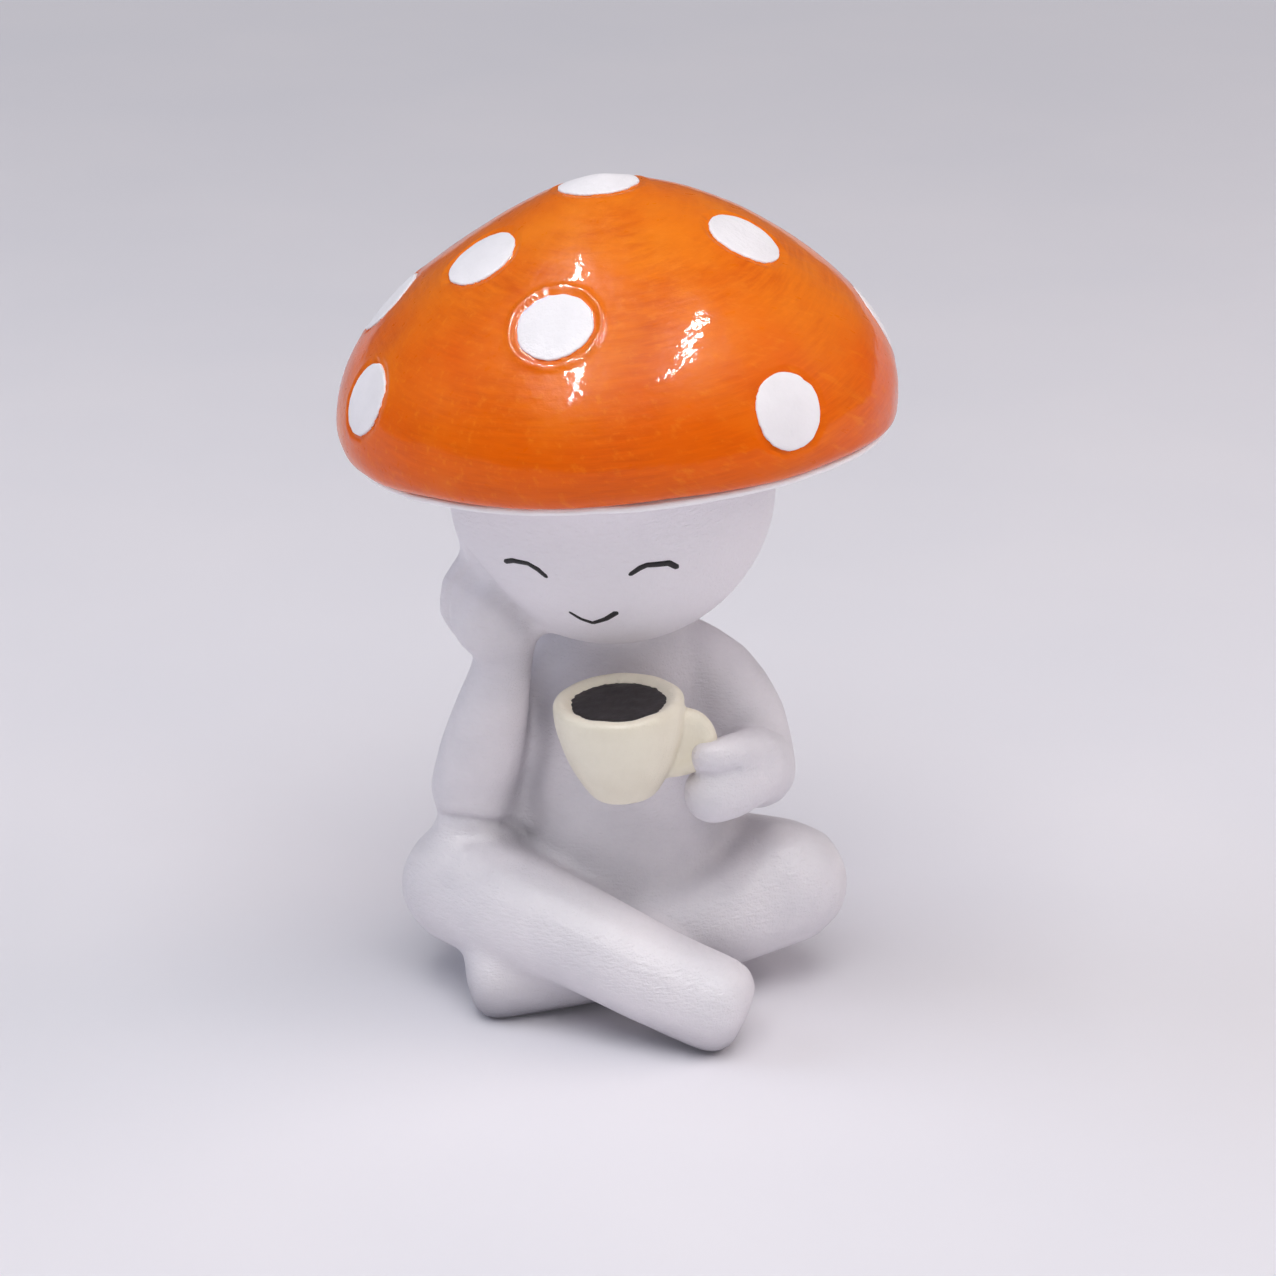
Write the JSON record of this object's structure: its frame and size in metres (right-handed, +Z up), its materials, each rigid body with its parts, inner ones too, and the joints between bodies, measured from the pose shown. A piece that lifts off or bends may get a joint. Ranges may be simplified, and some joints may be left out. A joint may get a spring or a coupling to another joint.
{
  "type": "mushroom ornament",
  "caption": "Seated figure with crossed legs under a spotted mushroom cap, one hand on its cheek and a cup of coffee in the other; stands flat on a desk or shelf.",
  "frame": {"origin": "middle of the ornament's bounding box, on the surface that it stands on", "axes": "+Z up; the figure faces -Y, with its right arm and leg on the -X side"},
  "size_m": [0.063, 0.0632, 0.0976],
  "materials": {
    "figure_white": "cast resin painted a cool satin white, with fine brush texture",
    "cap_orange": "cast resin hand painted streaky orange under a gloss varnish",
    "spot_white": "white paint, slightly glossy",
    "cup_cream": "cast resin painted cream, semi-matte",
    "coffee_brown": "very dark brown paint",
    "face_black": "brown-black brush lines",
    "pin_steel": "plain dowel pin, hidden in the joints"
  },
  "bodies": {
    "root": {"torso": "figure_white", "right_leg": "figure_white", "left_leg": "figure_white", "right_arm": "figure_white", "left_arm": "figure_white", "neck_pin": "pin_steel", "right_shoulder_pin": "pin_steel", "left_shoulder_pin": "pin_steel", "right_hip_pin": "pin_steel", "left_hip_pin": "pin_steel", "head": "figure_white", "right_eye_line": "face_black", "left_eye_line": "face_black", "smile_line": "face_black", "cap": "cap_orange", "cap_underside": "figure_white", "cap_pin": "pin_steel", "cap_spot_01": "spot_white", "cap_spot_02": "spot_white", "cap_spot_03": "spot_white", "cap_spot_04": "spot_white", "cap_spot_05": "spot_white", "cap_spot_06": "spot_white", "cap_spot_07": "spot_white", "cap_spot_08": "spot_white", "cap_spot_09": "spot_white", "cap_spot_10": "spot_white", "cap_spot_11": "spot_white", "cap_spot_12": "spot_white", "cap_spot_13": "spot_white", "cap_spot_14": "spot_white", "cup": "cup_cream", "coffee": "coffee_brown"}
  },
  "joints": []
}
